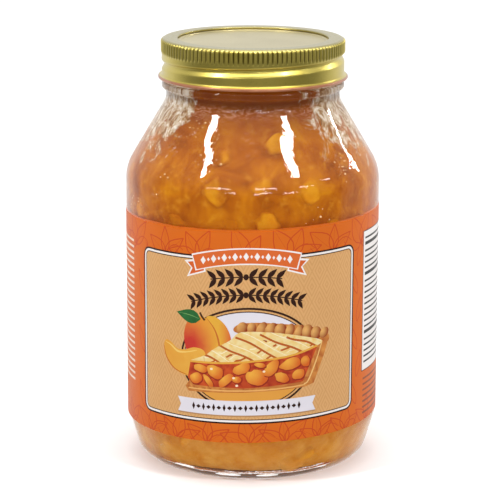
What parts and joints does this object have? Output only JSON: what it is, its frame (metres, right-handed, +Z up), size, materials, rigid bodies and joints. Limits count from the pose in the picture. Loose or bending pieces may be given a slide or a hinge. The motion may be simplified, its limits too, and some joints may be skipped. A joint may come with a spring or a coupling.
{
  "type": "mason jar",
  "caption": "Round glass canning jar with sloping shoulders, paper label, fruit filling, flat sealing lid and a knurled gold screw band that turns and lifts off.",
  "frame": {"origin": "centre of the jar's standing ring, on the surface it stands on", "axes": "+Z up along the jar's axis, -Y toward the front of the label, +X to the right seen from the front"},
  "size_m": [0.0986, 0.0986, 0.1646],
  "materials": {
    "clear_glass": "polished",
    "fruit_gel": "gloss",
    "peach_flesh": "satin",
    "label_paper": "satin",
    "lid_lacquer": "satin",
    "seal_compound": "satin",
    "gold_lacquer": "gloss"
  },
  "bodies": {
    "jar": {"glass_jar": "clear_glass", "filling": "fruit_gel", "peach_pieces": "peach_flesh", "label": "label_paper"},
    "flat_lid": {"lid_disc": "lid_lacquer", "sealing_ring": "seal_compound"},
    "band": {"screw_band": "gold_lacquer"}
  },
  "joints": [
    {"name": "lid_lift", "type": "slide", "parent": "jar", "child": "flat_lid", "axis": [0, 0, 1], "range_m": [0, 0.01905]},
    {"name": "band_turn", "type": "hinge", "parent": "flat_lid", "child": "band", "pos_m": [0, 0, 0.157], "axis": [0, 0, 1], "range_deg": [0, 1080]}
  ],
  "couplings": [
    {"joint": "lid_lift", "follows": "band_turn", "m_per_rad": 0.0010106}
  ]
}
